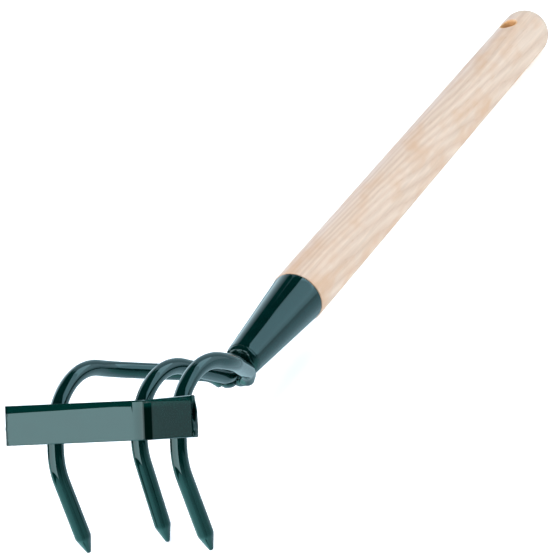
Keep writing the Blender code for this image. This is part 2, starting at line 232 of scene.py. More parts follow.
def make_enamel_group():
    """Hand-dipped enamel: where it lies thin, and the slow waves and fine peel of its surface."""
    tree = bpy.data.node_groups.new("dipped enamel", "ShaderNodeTree")
    add_socket(tree, "Wave", "Float", 1.0)
    add_socket(tree, "Wave Length", "Float", 0.012)
    add_socket(tree, "Peel", "Float", 1.0)
    add_socket(tree, "Thin", "Float", output=True)
    add_socket(tree, "Normal", "Vector", output=True)
    new, link = tree.nodes.new, tree.links.new
    given = new("NodeGroupInput").outputs
    place = new("ShaderNodeTexCoord").outputs["Object"]

    def cloud(scale, detail):
        texture = new("ShaderNodeTexNoise")
        texture.inputs["Detail"].default_value = detail
        link(place, texture.inputs["Vector"])
        if isinstance(scale, (int, float)):
            texture.inputs["Scale"].default_value = scale
        else:
            link(scale, texture.inputs["Scale"])
        return texture.outputs["Fac"]

    waves = cloud(add_math(tree, "DIVIDE", 1.0, given["Wave Length"]), 1.0)
    wave_depth = add_math(tree, "MULTIPLY", given["Wave"], WAVE_DEPTH)
    waves = add_math(tree, "MULTIPLY", waves, wave_depth)
    peel = add_math(tree, "MULTIPLY", cloud(PEEL_PER_METRE, 2.0), PEEL_DEPTH)
    height = add_math(tree, "ADD", waves, add_math(tree, "MULTIPLY", peel, given["Peel"]))
    bump = new("ShaderNodeBump")
    bump.inputs["Strength"].default_value = 1.0
    bump.inputs["Distance"].default_value = 1.0
    link(height, bump.inputs["Height"])
    out = new("NodeGroupOutput").inputs
    link(cloud(THIN_PER_METRE, 3.0), out["Thin"])
    link(bump.outputs["Normal"], out["Normal"])
    return tree


enamel_group = make_enamel_group()


def new_material(name):
    """A new material, its node tree and its Principled shader."""
    made = bpy.data.materials.new(name)
    made.use_nodes = True
    return made, made.node_tree, made.node_tree.nodes["Principled BSDF"]


def enamel(name, roughness=0.03, wave=1.0, wave_length=0.012, peel=0.15):
    """The head's green enamel, as it lies on one piece."""
    made, tree, shader = new_material(name)
    shader.inputs["Roughness"].default_value = roughness
    shader.inputs["IOR"].default_value = ENAMEL_IOR
    shader.inputs["Specular Tint"].default_value = (*ENAMEL_TINT, 1)
    coat = tree.nodes.new("ShaderNodeGroup")
    coat.node_tree = enamel_group
    coat.inputs["Wave"].default_value = wave
    coat.inputs["Wave Length"].default_value = wave_length
    coat.inputs["Peel"].default_value = peel
    tone = tree.nodes.new("ShaderNodeValToRGB")
    tone.color_ramp.elements[0].position = 0.35
    tone.color_ramp.elements[0].color = (*GREEN, 1)
    tone.color_ramp.elements[1].position = 0.70
    tone.color_ramp.elements[1].color = (*GREEN_THIN, 1)
    tree.links.new(coat.outputs["Thin"], tone.inputs["Fac"])
    tree.links.new(tone.outputs["Color"], shader.inputs["Base Color"])
    tree.links.new(coat.outputs["Normal"], shader.inputs["Normal"])
    return made


butt = ROOT_CORNER + ALONG_HANDLE * HANDLE_DOME_START
tip_to_butt = butt - MIDDLE_TIP
rest_pitch = math.atan2(tip_to_butt.z, tip_to_butt.y)
rest_pitch -= math.asin(HANDLE_END_RADIUS / tip_to_butt.length)
laid = Matrix.Rotation(-rest_pitch, 4, "X")

bar_tree = make_bar_tree()
middle_line = bent_line(
    MIDDLE_TIP,
    [(MIDDLE_LOWER_CORNER, LOWER_BEND), (MIDDLE_TOP_CORNER, TOP_BEND), (ROOT_CORNER, ROOT_BEND)],
    ROOT_CORNER + ALONG_HANDLE * TANG_LENGTH,
)
middle_enamel = enamel("middle tine enamel", wave=0.6)
middle_tine = grown("tine_middle", line_curve("line", middle_line), bar_tree, Finish=middle_enamel)
middle_tine.data.transform(laid)


def box_middle(points):
    low = Vector([min(point[axis] for point in points) for axis in range(3)])
    high = Vector([max(point[axis] for point in points) for axis in range(3)])
    return (low + high) / 2


shift = box_middle(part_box("middle_tine")) - box_middle([v.co for v in middle_tine.data.vertices])
middle_tine.data.transform(Matrix.Translation(shift))
laid = Matrix.Translation(shift) @ laid


def fit(piece, *nodes, slot="green_paint"):
    """Puts a finished piece on the tool in place of its CAD nodes."""
    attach(piece, "root")
    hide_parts(*nodes)


fit(smooth(middle_tine), "middle_tine")

# OUTER TINES
# Two bars like the middle one, mirror images, bent inwards above the strap until their ends
# lie side by side under the tang, where the root weld takes all three.
TINE_SPACING = 0.038
OUTER_TINE_Y = -0.0196
OUTER_TIP = Vector((TINE_SPACING, 0.0048, -0.0557))
OUTER_LOWER_CORNER = Vector((TINE_SPACING, OUTER_TINE_Y, -0.0121))
OUTER_TOP_CORNER = Vector((TINE_SPACING, OUTER_TINE_Y, 0.0408))
OUTER_INWARD_CORNER = Vector((TINE_SPACING, 0.0293, 0.0375))
OUTER_INWARD_BEND = 0.044
OUTER_END_CORNER = Vector((0.0116, 0.0810, 0.0337))
OUTER_END_BEND = 0.014
OUTER_END = Vector((0.0068, 0.0860, 0.0288))
OUTER_END_ROUND = 0.0020

outer_lines = {}
for side, word in ((1, "right"), (-1, "left")):
    line = bent_line(
        OUTER_TIP,
        [
            (OUTER_LOWER_CORNER, LOWER_BEND),
            (OUTER_TOP_CORNER, TOP_BEND),
            (OUTER_INWARD_CORNER, OUTER_INWARD_BEND),
            (OUTER_END_CORNER, OUTER_END_BEND),
        ],
        OUTER_END,
    )
    line = [Vector((point.x * side, point.y, point.z)) for point in line]
    outer_lines[word] = line
    coat = enamel(word + " tine enamel", wave=0.6)
    curve = line_curve("line", line)
    tine = grown("tine_" + word, curve, bar_tree, Finish=coat, End_Round=OUTER_END_ROUND)
    tine.data.transform(laid)
    fit(smooth(tine), word + "_tine")

# CROSS STRAP
# Flat mild steel bar, 20 by 4 mm, bent once so that its hollow side faces forwards. Its left
# end is sheared. Its right end is broken off a longer bar at a slant, with a hollow in the
# end face, and a drop of enamel hung from its lower corner as it dried.
STRAP_HEIGHT = 0.0200
STRAP_THICKNESS = 0.0040
STRAP_LEFT_ARM = 0.0700
STRAP_RIGHT_ARM = 0.0867
STRAP_END_SHEAR = 0.8
STRAP_RIGHT_SWEEP = math.radians(38.0)
STRAP_INNER_BEND = 0.0090
STRAP_GAP = 0.0003
STRAP_EDGE = 0.0005
STRAP_STEP = 0.004
# Painted light and shade on the strap: a dark band of painted shade and dark reflection in the
# bend, and a lighter green painted as light along the top edge.
SHADE_BAND_LEFT = (0.0033, 0.0038)
SHADE_BAND_RIGHT = (0.0190, 0.0160)
SHADE_BAND_TOP = (0.0187, 0.0182)
TOP_LIGHT_BAND = (0.0155, 0.0175)
GREEN_SHADED = (0.0001, 0.0040, 0.0030)
GREEN_TOP_LIGHT = (0.0003, 0.0180, 0.0145)
STRAP_GRID_DEPTH = 24
STRAP_GRID_HEIGHT = 60
END_BEAD = 0.0011
END_REACH = 0.0140
END_RIMS = 16
END_HOLLOW = (Vector((0.0017, 0.0122)), Vector((0.0014, 0.0060)), 0.0034)
END_DROP = (Vector((0.0021, 0.0020)), Vector((0.0017, 0.0023)), -0.0009)


def strap_bend():
    """The front corner of the strap's bend, and the ways its two arms run from there."""
    clear = ROD_RADIUS + STRAP_THICKNESS + STRAP_GAP
    left_sweep = math.atan2(MIDDLE_TINE_Y - OUTER_TINE_Y, TINE_SPACING)
    left_front = Vector((math.sin(left_sweep), -math.cos(left_sweep)))
    right_front = Vector((-math.sin(STRAP_RIGHT_SWEEP), -math.cos(STRAP_RIGHT_SWEEP)))
    left_reach = Vector((0, MIDDLE_TINE_Y)).dot(left_front) + clear
    right_reach = Vector((TINE_SPACING, OUTER_TINE_Y)).dot(right_front) + clear
    corner = Matrix((left_front, right_front)).inverted() @ Vector((left_reach, right_reach))
    left_arm = Vector((-math.cos(left_sweep), -math.sin(left_sweep), 0))
    right_arm = Vector((math.cos(STRAP_RIGHT_SWEEP), -math.sin(STRAP_RIGHT_SWEEP), 0))
    return Vector((*corner, 0)), left_arm, right_arm


def edge_steps(count, length):
    """Places from 0 to length, close together inside the rounded edges at both ends."""
    edge = [STRAP_EDGE * part for part in (0, 0.25, 0.5, 0.75, 1.0, 1.6)]
    between = count - len(edge) * 2 + 1
    step = (length - edge[-1] * 2) / between
    middle = [edge[-1] + step * i for i in range(1, between)]
    return edge + middle + [length - place for place in reversed(edge)]


def rounded(depth, height):
    """A place on the outline of the bar's section, moved in where the long edges are rounded."""
    inner = Vector(
        (
            min(max(depth, STRAP_EDGE), STRAP_THICKNESS - STRAP_EDGE),
            min(max(height, STRAP_EDGE), STRAP_HEIGHT - STRAP_EDGE),
        )
    )
    out = Vector((depth, height)) - inner
    if min(abs(out.x), abs(out.y)) > 1e-9:
        out = out.normalized() * STRAP_EDGE
    return inner + out


def mesh_piece(name, mesh):
    data = bpy.data.meshes.new(name)
    mesh.to_mesh(data)
    mesh.free()
    return add_piece(name, data)


corner, left_arm, right_arm = strap_bend()
depths = edge_steps(STRAP_GRID_DEPTH, STRAP_THICKNESS)
heights = edge_steps(STRAP_GRID_HEIGHT, STRAP_HEIGHT)
front_line = bent_line(
    corner + left_arm * STRAP_LEFT_ARM,
    [(corner, STRAP_INNER_BEND)],
    corner + right_arm * STRAP_RIGHT_ARM,
)
stations = [(front_line[0] - left_arm * length, -left_arm) for length in (0, 0.0004, 0.001, 0.002)]
stations += [(front_line[0] - left_arm * STRAP_STEP * i, -left_arm) for i in range(1, 15)]
for before, place, after in zip(front_line, front_line[1:], front_line[2:]):
    stations.append((place, (after - before).normalized()))
stations[-1] = (stations[-1][0], right_arm)
stations[len(stations) - len(front_line) + 2] = (front_line[1], -left_arm)
straight = (front_line[-1] - front_line[-2]).length
walk = STRAP_STEP
while walk < straight - END_REACH:
    stations.append((front_line[-2] + right_arm * walk, right_arm))
    walk += STRAP_STEP
for i in range(END_RIMS, -1, -1):
    stations.append((front_line[-1] - right_arm * END_REACH * (i / END_RIMS) ** 1.5, right_arm))


def torn_left(depth, height):
    """How far the sheared left end stands back at a place on it."""
    rough = noise.noise(Vector((depth * 300, height * 420, 3.1)))
    fine = noise.noise(Vector((depth * 900, height * 1300, 7.7)))
    front = max(0.0, 0.0011 + rough * 0.0006 - depth)
    return 0.00015 + rough * 0.00015 + fine * 0.00008 + front * 0.9


def torn_right(depth, height):
    """How far the broken right end stands back at a place on it."""
    rough = noise.noise(Vector((depth * 400, height * 300, 11.3))) * 0.00030
    fine = noise.noise(Vector((depth * 1400, height * 1100, 5.9))) * 0.00010
    back = 0.0009 + STRAP_END_SHEAR * depth + rough + fine
    for place, reach, deep in (END_HOLLOW, END_DROP):
        off = Vector(((depth - place.x) / reach.x, (height - place.y) / reach.y)).length
        if off < 1:
            back += deep * (1 - off * off) ** (1.5 if deep > 0 else 0.5)
    top = min(max(0.0, height - 0.0125) / 0.0075, 1.0)
    sheared = max(0.0, depth - STRAP_THICKNESS * (1 - 0.52 * top))
    bottom = max(0.0, 0.0012 - height) / 0.0012
    return back + sheared * 2.0 + bottom * bottom * 0.0006


def mixed(tree, blend, amount, first, second):
    """A colour Mix node, whose inputs are sockets, plain numbers or colours."""
    node = tree.nodes.new("ShaderNodeMix")
    node.data_type = "RGBA"
    node.blend_type = blend
    for name, value in (("Factor", amount), ("A", first), ("B", second)):
        if isinstance(value, (int, float)):
            node.inputs[name].default_value = value
        elif isinstance(value, tuple):
            node.inputs[name].default_value = (*value, 1)
        else:
            tree.links.new(value, node.inputs[name])
    return node.outputs["Result"]


def paint_bend_shade(made):
    """Painted shade and painted dark reflection in the hollow of the strap's bend: a dark band
    down it with no gloss. Along the strap's top edge a lighter green is painted light, and past
    the bend the gloss is halved, a painted dimming of that arm's reflection."""
    tree = made.node_tree
    shader = tree.nodes["Principled BSDF"]
    place = tree.nodes.new("ShaderNodeTexCoord").outputs["Object"]

    def distance(direction):
        turned_way = laid.to_3x3() @ direction
        reach = tree.nodes.new("ShaderNodeVectorMath")
        reach.operation = "DOT_PRODUCT"
        reach.inputs[1].default_value = turned_way
        tree.links.new(place, reach.inputs[0])
        return add_math(tree, "SUBTRACT", reach.outputs["Value"], turned_way.dot(laid @ corner))

    def step_up(value, low, high):
        step = tree.nodes.new("ShaderNodeMapRange")
        step.interpolation_type = "SMOOTHSTEP"
        step.inputs["From Min"].default_value = low
        step.inputs["From Max"].default_value = high
        tree.links.new(value, step.inputs["Value"])
        return step.outputs["Result"]

    along, over = distance(right_arm), distance(UP)
    shade_band = step_up(along, *SHADE_BAND_LEFT)
    shade_band = add_math(tree, "MULTIPLY", shade_band, step_up(along, *SHADE_BAND_RIGHT))
    shade_band = add_math(tree, "MULTIPLY", shade_band, step_up(over, *SHADE_BAND_TOP))
    # Past the bend the gloss is halved: a painted dimming of the right arm's reflection.
    beyond_bend = add_math(tree, "MULTIPLY_ADD", step_up(along, *SHADE_BAND_LEFT), -0.25, 0.5)
    gloss = add_math(tree, "MULTIPLY", beyond_bend, add_math(tree, "SUBTRACT", 1.0, shade_band))
    tree.links.new(gloss, shader.inputs["Specular IOR Level"])
    base = shader.inputs["Base Color"].links[0].from_socket
    # Painted shade darkens the band's colour, then painted light lightens the green along the top
    # edge.
    base = mixed(tree, "MIX", shade_band, base, GREEN_SHADED)
    base = mixed(tree, "MIX", step_up(over, *TOP_LIGHT_BAND), base, GREEN_TOP_LIGHT)
    tree.links.new(base, shader.inputs["Base Color"])


mesh = bmesh.new()
rims = []
last_depth, last_height = len(depths) - 1, len(heights) - 1
around = [(i, 0) for i in range(last_depth)]
around += [(last_depth, j) for j in range(last_height)]
around += [(i, last_height) for i in range(last_depth, 0, -1)]
around += [(0, j) for j in range(last_height, 0, -1)]
for place, along in stations:
    back = UP.cross(along)
    rim = {}
    for i, j in around:
        spot = rounded(depths[i], heights[j])
        rim[i, j] = mesh.verts.new(place + back * spot.x + UP * spot.y)
    rims.append(rim)
for near, far in zip(rims, rims[1:]):
    for start, after in zip(around, around[1:] + around[:1]):
        mesh.faces.new((near[start], near[after], far[after], far[start]))
for rim, (place, along), torn, bead, reach in (
    (rims[0], stations[0], torn_left, STRAP_EDGE, -1),
    (rims[-1], stations[-1], torn_right, END_BEAD, 1),
):
    back = UP.cross(along)
    grid = dict(rim)
    for i in range(1, last_depth):
        for j in range(1, last_height):
            spot = (depths[i], heights[j])
            grid[i, j] = mesh.verts.new(place + back * spot[0] + UP * spot[1])
    for i in range(last_depth):
        for j in range(last_height):
            corners = [grid[i, j], grid[i + 1, j], grid[i + 1, j + 1], grid[i, j + 1]]
            mesh.faces.new(corners if reach < 0 else corners[::-1])
    for (i, j), vert in grid.items():
        depth, height = depths[i], heights[j]
        inset = min(depth, STRAP_THICKNESS - depth, height, STRAP_HEIGHT - height, bead)
        ease = 1 - inset / bead
        round_off = bead * (1 - math.sqrt(1 - ease * ease)) * 0.6
        vert.co -= along * reach * (torn(depth, height) + round_off)
for rim, (place, along) in zip(rims[-END_RIMS - 1 : -1], stations[-END_RIMS - 1 : -1]):
    share = 1 - (front_line[-1] - place).length / END_REACH
    for (i, j), vert in rim.items():
        vert.co -= along * torn_right(depths[i], heights[j]) * share**1.5
mesh.normal_update()
bmesh.ops.recalc_face_normals(mesh, faces=mesh.faces)
strap = mesh_piece("strap", mesh)
strap_enamel = enamel("strap enamel", roughness=0.0, wave=0.04, wave_length=0.05, peel=0.0)
# Paints shade and dark reflection into the strap's bend, and light along its top edge.
paint_bend_shade(strap_enamel)
strap.data.materials.append(strap_enamel)
strap.data.transform(laid)
fit(smooth(strap), "cross_strap")

# STRAP WELDS
# A short fillet of weld down each side of every tine, in the corner behind the strap, laid
# in overlapping drops and then enamelled over with the rest.
BEAD_RADIUS = 0.0024
BEAD_FOOT = 0.0016
BEAD_TOP = 0.0180
BEAD_ROUND_TINE = math.radians(33)
BEAD_SINK = 0.0006
BEAD_DROP = 0.0017
BEAD_SPACING = 0.00025
BEAD_ROUGHNESS = 0.00025
BEAD_LUMPS_PER_METRE = 420.0
BEAD_SIDES = 20
BEAD_STEPS = 12


def make_bead_tree():
    """A weld bead along a curve: overlapping drops, drawn in at both ends."""
    tree = bpy.data.node_groups.new("weld bead", "GeometryNodeTree")
    add_socket(tree, "Bead", "Geometry", output=True)
    add_socket(tree, "Run", "Geometry")
    add_socket(tree, "Drop Length", "Float", BEAD_DROP)
    add_socket(tree, "Spacing", "Float", BEAD_SPACING)
    add_socket(tree, "Roughness", "Float", BEAD_ROUGHNESS)
    add_socket(tree, "Sides", "Int", BEAD_SIDES)
    add_socket(tree, "Seed", "Float", 0.0)
    add_socket(tree, "Finish", "Material")
    new, link = tree.nodes.new, tree.links.new
    given = new("NodeGroupInput").outputs
    resample = new("GeometryNodeResampleCurve")
    resample.mode = "LENGTH"
    link(given["Run"], resample.inputs["Curve"])
    link(given["Spacing"], resample.inputs["Length"])
    spline = new("GeometryNodeSplineParameter").outputs
    drops = add_math(tree, "DIVIDE", spline["Length"], given["Drop Length"])
    drops = add_math(tree, "FRACT", drops)
    drops = add_math(tree, "SINE", add_math(tree, "MULTIPLY", drops, math.pi))
    swell = add_math(tree, "MULTIPLY_ADD", drops, 0.10, 0.92)
    ends = add_math(tree, "MULTIPLY_ADD", spline["Factor"], 2.0, -1.0)
    ends = add_math(tree, "POWER", add_math(tree, "ABSOLUTE", ends), 8.0)
    ends = add_math(tree, "SQRT", add_math(tree, "SUBTRACT", 1.0, ends))
    size = new("GeometryNodeInputRadius").outputs["Radius"]
    size = add_math(tree, "MULTIPLY", size, add_math(tree, "MULTIPLY", swell, ends))
    body = sweep_round(tree, resample.outputs["Curve"], size, given["Sides"])
    lumps = new("ShaderNodeTexNoise")
    lumps.noise_dimensions = "4D"
    lumps.inputs["Scale"].default_value = BEAD_LUMPS_PER_METRE
    link(given["Seed"], lumps.inputs["W"])
    lump = add_math(tree, "SUBTRACT", lumps.outputs["Fac"], 0.5)
    lump = add_math(tree, "MULTIPLY", lump, given["Roughness"])
    out = new("ShaderNodeVectorMath")
    out.operation = "SCALE"
    link(new("GeometryNodeInputNormal").outputs["Normal"], out.inputs["Vector"])
    link(lump, out.inputs["Scale"])
    push = new("GeometryNodeSetPosition")
    link(body, push.inputs["Geometry"])
    link(out.outputs["Vector"], push.inputs["Offset"])
    end_tree(tree, push.outputs["Geometry"], given["Finish"], "Bead")
    return tree


def line_at_height(line, height):
    for low, high in zip(line, line[1:]):
        if low.z <= height <= high.z:
            return low.lerp(high, (height - low.z) / (high.z - low.z))
    return line[0]


bead_tree = make_bead_tree()
weld_enamel = enamel("weld enamel", roughness=0.06, wave=1.5, wave_length=0.004)
for word, line, arm in (
    ("left", outer_lines["left"], -left_arm),
    ("middle", middle_line, -left_arm),
    ("right", outer_lines["right"], right_arm),
):
    behind = UP.cross(arm)
    for side, side_word in ((-1, "left"), (1, "right")):
        towards_strap = arm * side * math.cos(BEAD_ROUND_TINE) - behind * math.sin(BEAD_ROUND_TINE)
        run, radii = [], []
        for i in range(BEAD_STEPS + 1):
            height = BEAD_FOOT + (BEAD_TOP - BEAD_FOOT) * i / BEAD_STEPS
            tine_place = line_at_height(line, height)
            gap = (tine_place - line_at_height(line, 0)).dot(behind)
            run.append(tine_place + towards_strap * (ROD_RADIUS - BEAD_SINK) - behind * gap / 2)
            radii.append(BEAD_RADIUS - BEAD_SINK / 2 + gap / 4)
        curve = line_curve("run", run)
        for place, radius in zip(curve.data.splines[0].points, radii):
            place.radius = radius
        node = f"{word}_strap_weld_{side_word}"
        seed = 1.7 * side + line[0].x * 90
        bead = grown("bead_" + node, curve, bead_tree, Seed=seed, Finish=weld_enamel)
        bead.data.transform(laid)
        fit(smooth(bead, 60), node)

# ROOT WELD
# A lump of weld under the tang that holds the ends of the two outer tines to it, with a run
# that sagged forwards between them. The enamel rounds it off.
ROOT_WELD_AT = Vector((0, 0.0924, 0.0322))
ROOT_WELD_HALF_SIZE = Vector((0.0081, 0.0063, 0.0060))
ROOT_WELD_LUMPS = 0.0004
ROOT_DRIP_AT = Vector((-0.0040, 0.0848, 0.0283))
ROOT_DRIP_HALF_SIZE = Vector((0.0043, 0.0049, 0.0027))
ROOT_DRIP_LUMPS = 0.0003
ROOT_VOXEL = 0.00035

mesh = bmesh.new()
for centre, half_size, lumpiness in (
    (ROOT_WELD_AT, ROOT_WELD_HALF_SIZE, ROOT_WELD_LUMPS),
    (ROOT_DRIP_AT, ROOT_DRIP_HALF_SIZE, ROOT_DRIP_LUMPS),
):
    ball = bmesh.ops.create_icosphere(mesh, subdivisions=5, radius=1)["verts"]
    for vert in ball:
        out = vert.co.copy()
        spot = Vector((out.x * half_size.x, out.y * half_size.y, out.z * half_size.z))
        lump = noise.noise(spot * 260) + 0.5 * noise.noise(spot * 700)
        vert.co = centre + spot + out * (lump - 0.5) * lumpiness
lumps = mesh_piece("lumps", mesh)
remesh = lumps.modifiers.new("run together", "REMESH")
remesh.mode = "VOXEL"
remesh.voxel_size = ROOT_VOXEL
remesh.use_smooth_shade = True
soften = lumps.modifiers.new("flow", "SMOOTH")
soften.factor = 0.6
soften.iterations = 30
root_weld = settled("weld_root", lumps)
root_weld.data.materials.clear()
root_weld.data.materials.append(weld_enamel)
root_weld.data.transform(laid)
fit(smooth(root_weld, 70), "root_weld")

# SOCKET
# A cone rolled from 1.2 mm sheet, its seam dressed flat under the enamel, and open at the
# mouth to take the handle. The mouth's edge is filed round.
SOCKET_START = 0.0161
SOCKET_MOUTH = 0.0795
SOCKET_START_RADIUS = 0.0097
SOCKET_MOUTH_RADIUS = 0.0150
SOCKET_WALL = 0.0012
SOCKET_LIP = 0.0004
SOCKET_SIDES = 144
socket_slope = (SOCKET_MOUTH_RADIUS - SOCKET_START_RADIUS) / (SOCKET_MOUTH - SOCKET_START)


def fillet(corner, before, after, radius, steps=5):
    """A corner of a (radius, height) outline, rounded off."""
    to_before = (before - corner).normalized()
    to_after = (after - corner).normalized()
    start, end = corner + to_before * radius, corner + to_after * radius
    points = []
    for i in range(steps + 1):
        t = i / steps
        points.append(start.lerp(corner, t).lerp(corner.lerp(end, t), t))
    return points


def turned(name, outline, sides, closed=True):
    """A body turned about the handle's axis from (radius, distance) places, outside first."""
    mesh = bmesh.new()
    rings = []
    for radius, distance in outline:
        if radius < 1e-7:
            rings.append([mesh.verts.new((0, 0, distance))])
            continue
        angles = [2 * math.pi * k / sides for k in range(sides)]
        ring = [(radius * math.cos(a), radius * math.sin(a), distance) for a in angles]
        rings.append([mesh.verts.new(place) for place in ring])
    pairs = list(zip(rings, rings[1:]))
    if closed:
        pairs.append((rings[-1], rings[0]))
    for near, far in pairs:
        for k in range(sides):
            j = (k + 1) % sides
            if len(near) == 1:
                mesh.faces.new((near[0], far[j], far[k]))
            elif len(far) == 1:
                mesh.faces.new((near[k], near[j], far[0]))
            else:
                mesh.faces.new((near[k], near[j], far[j], far[k]))
    bmesh.ops.recalc_face_normals(mesh, faces=mesh.faces)
    return mesh_piece(name, mesh)


def stand_on_axis(distance, direction=ALONG_HANDLE):
    place = Matrix.Translation(ROOT_CORNER + ALONG_HANDLE * distance)
    return place @ direction.to_track_quat("Z", "Y").to_matrix().to_4x4()


start_out = Vector((SOCKET_START_RADIUS, SOCKET_START))
mouth_out = Vector((SOCKET_MOUTH_RADIUS, SOCKET_MOUTH))
mouth_in = Vector((SOCKET_MOUTH_RADIUS - SOCKET_WALL, SOCKET_MOUTH))
start_in = Vector((SOCKET_START_RADIUS - SOCKET_WALL, SOCKET_START))
outline = fillet(start_out, start_in, mouth_out, SOCKET_LIP)
outline += [start_out.lerp(mouth_out, i / 24) for i in range(1, 24)]
outline += fillet(mouth_out, start_out, mouth_in, SOCKET_LIP)
outline += fillet(mouth_in, mouth_out, start_in, SOCKET_LIP)
outline += [start_in]
socket = turned("socket_cone", outline, SOCKET_SIDES)
socket.data.transform(laid @ stand_on_axis(0))
socket.data.materials.append(enamel("socket enamel", roughness=0.04, wave=0.25, wave_length=0.02))
fit(smooth(socket), "socket")

# SOCKET WELD
# A run of weld that closes the socket's small end round the tang. The enamel lies thick on it
# and leaves only slow waves of the drops underneath.
SOCKET_WELD_INSIDE = ROD_RADIUS - 0.0002
SOCKET_WELD_OUTSIDE = SOCKET_START_RADIUS - 0.0002
SOCKET_WELD_DEPTH = 0.0027
SOCKET_WELD_ROUND = 0.0030
SOCKET_WELD_OVERLAP = 0.0004


def quarter_turn(steps):
    """Cosine and sine of the angles from 0 to 90 degrees, in even steps."""
    angles = [math.pi / 2 * i / steps for i in range(steps + 1)]
    return [(math.cos(angle), math.sin(angle)) for angle in angles]


outline = [
    Vector((SOCKET_WELD_INSIDE, SOCKET_START + SOCKET_WELD_OVERLAP)),
    Vector((SOCKET_WELD_OUTSIDE, SOCKET_START + SOCKET_WELD_OVERLAP)),
]
for cosine, sine in quarter_turn(8):
    radius = SOCKET_WELD_OUTSIDE - SOCKET_WELD_ROUND * (1 - cosine)
    outline.append(Vector((radius, SOCKET_START - SOCKET_WELD_DEPTH * sine)))
outline.append(Vector((SOCKET_WELD_INSIDE, SOCKET_START - SOCKET_WELD_DEPTH)))
socket_weld = turned("weld_socket", outline, SOCKET_SIDES)
socket_weld.data.transform(laid @ stand_on_axis(0))
ring_enamel = enamel("socket weld enamel", roughness=0.12, wave=0.25, wave_length=0.010)
socket_weld.data.materials.append(ring_enamel)
fit(smooth(socket_weld, 50), "socket_weld")

# HANDLE
# Ash, turned to a slight taper with a domed butt, sanded smooth under a thin clear coat. Its
# tenon fills the socket, and a hang hole is drilled through near the butt, its mouths eased.
TENON_START = 0.0360
HANDLE_SHOULDER_RADIUS = 0.0154
HANDLE_EDGE = 0.0006
HANDLE_SIDES = 128
HANG_HOLE_AT = 0.3760
HANG_HOLE_RADIUS = 0.0050
HANG_HOLE_EASE = 0.0016
HANG_HOLE_SIDES = 64
FIT_GAP = 0.0003
RING_WIDTH = 0.0030
HEART_AT = (0.020, 0, -0.030)
HEART_LEAN = (math.radians(4.0), 0, math.radians(2.5))
GRAIN_DEPTH = 0.00012
WOOD_DEEP = (0.500, 0.310, 0.200)
WOOD_YEAR = (0.660, 0.465, 0.355)
WOOD_MID = (0.695, 0.505, 0.390)
WOOD_PALE = (0.760, 0.580, 0.460)
WOOD_WARM = (0.640, 0.395, 0.250)
WOOD_IN_HOLE = (0.760, 0.440, 0.200)

tenon_slip = SOCKET_WALL + FIT_GAP
tenon_radius = SOCKET_START_RADIUS + socket_slope * (TENON_START - SOCKET_START) - tenon_slip
shoulder = SOCKET_MOUTH + FIT_GAP
at_shoulder = Vector((HANDLE_SHOULDER_RADIUS, shoulder))
at_dome = Vector((HANDLE_END_RADIUS, HANDLE_DOME_START))
outline = [Vector((0, TENON_START)), Vector((tenon_radius - HANDLE_EDGE, TENON_START))]
outline.append(Vector((tenon_radius, TENON_START + HANDLE_EDGE)))
outline.append(Vector((SOCKET_MOUTH_RADIUS - tenon_slip, shoulder)))
outline += fillet(at_shoulder, Vector((0, shoulder)), at_dome, HANDLE_EDGE)
outline += [at_shoulder.lerp(at_dome, i / 60) for i in range(1, 54)]
outline += [at_shoulder.lerp(at_dome, 0.9 + 0.1 * i / 36) for i in range(36)]
for cosine, sine in quarter_turn(24)[:-1]:
    height = HANDLE_DOME_START + HANDLE_END_RADIUS * sine
    outline.append(Vector((HANDLE_END_RADIUS * cosine, height)))
outline.append(Vector((0, HANDLE_DOME_START + HANDLE_END_RADIUS)))
handle = turned("handle_ash", outline, HANDLE_SIDES, closed=False)
handle.data.transform(stand_on_axis(0))

below_handle = Vector((0, math.sin(HANDLE_RISE), -math.cos(HANDLE_RISE)))
beyond = HANDLE_END_RADIUS + 0.003
mouth_radius = HANG_HOLE_RADIUS + HANG_HOLE_EASE
outline = [Vector((0, -beyond)), Vector((mouth_radius, -beyond))]
for end in (-1, 1):
    eased = []
    for cosine, sine in quarter_turn(8):
        radius = mouth_radius - HANG_HOLE_EASE * sine
        eased.append(Vector((radius, end * (HANDLE_END_RADIUS - HANG_HOLE_EASE * (1 - cosine)))))
    outline += eased if end < 0 else eased[::-1]
outline += [Vector((mouth_radius, beyond)), Vector((0, beyond))]
hole = turned("hang hole", outline, HANG_HOLE_SIDES, closed=False)
hole.data.transform(stand_on_axis(HANG_HOLE_AT, below_handle))
drill = handle.modifiers.new("hang hole", "BOOLEAN")
drill.object = hole
drill.operation = "DIFFERENCE"
drill.solver = "EXACT"
handle = settled("handle_ash", handle)
bpy.data.objects.remove(hole)


